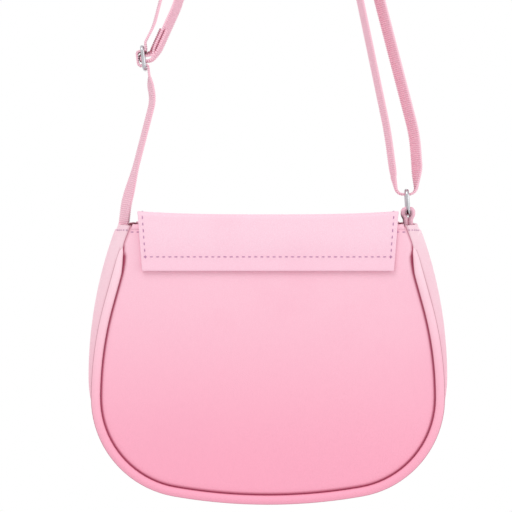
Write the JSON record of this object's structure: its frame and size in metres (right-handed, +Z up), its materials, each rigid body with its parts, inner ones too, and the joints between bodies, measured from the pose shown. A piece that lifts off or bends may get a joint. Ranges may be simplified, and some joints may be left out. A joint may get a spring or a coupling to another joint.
{
  "type": "crossbody purse",
  "caption": "Saddle-shaped faux leather crossbody purse with piped panels, a fold-over flap with a hidden magnetic snap, and a webbing strap with slider and ring, hanging.",
  "frame": {"origin": "top of the peg that the strap hangs over: the underside of the strap's inner run at its highest point", "axes": "+Z up, +Y out of the bag's back, -Y out of its flap side; the strap's slider and sewn end are on +X and its ring is on -X"},
  "size_m": [0.2166, 0.0649, 0.5034],
  "materials": {
    "leather": "fine-grained pink faux leather, soft sheen",
    "piping": "pink faux leather over cord",
    "lining": "plain crimson lining cloth",
    "board": "grey bag board",
    "webbing": "pink woven webbing",
    "metal": "bright nickel plate",
    "snap": "satin nickel"
  },
  "bodies": {
    "strap": {"strap_lower": "webbing", "slider_bend": "webbing", "slider_loop": "webbing", "strap_tail": "webbing", "strap_outer_left": "webbing", "strap_outer_top": "webbing", "strap_outer_right": "webbing", "ring_loop": "webbing", "strap_inner_left": "webbing", "strap_inner_top": "webbing", "strap_inner_right": "webbing"},
    "bag": {"back_panel": "leather", "front_panel": "leather", "back_board": "board", "front_board": "board", "back_hem": "leather", "front_hem": "leather", "gusset": "leather", "lining": "lining", "back_piping": "piping", "front_piping": "piping", "flap_back": "leather", "snap_socket": "snap", "snap_socket_plate": "snap", "ring_tab": "leather", "strap_end": "webbing"},
    "flap_top": {"flap_top": "leather", "flap_top_lining": "lining"},
    "flap_front": {"flap_front": "leather", "flap_front_lining": "lining", "snap_stud": "snap"},
    "ring": {"ring": "metal"},
    "slider": {"slider": "metal"}
  },
  "joints": [
    {"name": "bag_swing", "type": "hinge", "parent": "strap", "child": "bag", "pos_m": [0, 0, -0.32], "axis": [1, 0, 0], "range_deg": [-20, 20], "deforming": ["ring_loop"]},
    {"name": "ring_pivot", "type": "hinge", "parent": "bag", "child": "ring", "pos_m": [-0.0853, 0, -0.325], "axis": [0, 1, 0], "range_deg": [-8, 8], "deforming": ["ring_loop"]},
    {"name": "slider_adjust", "type": "slide", "parent": "strap", "child": "slider", "axis": [0.1219, 0, 0.9925], "range_m": [-0.008, 0.008], "deforming": ["slider_bend", "slider_loop"]},
    {"name": "flap_lift", "type": "hinge", "parent": "bag", "child": "flap_top", "pos_m": [0, 0.02925, -0.32805], "axis": [-1, 0, 0], "range_deg": [0, 18]},
    {"name": "flap_fold", "type": "hinge", "parent": "flap_top", "child": "flap_front", "pos_m": [0, -0.03335, -0.32805], "axis": [-1, 0, 0], "range_deg": [0, 150]}
  ]
}
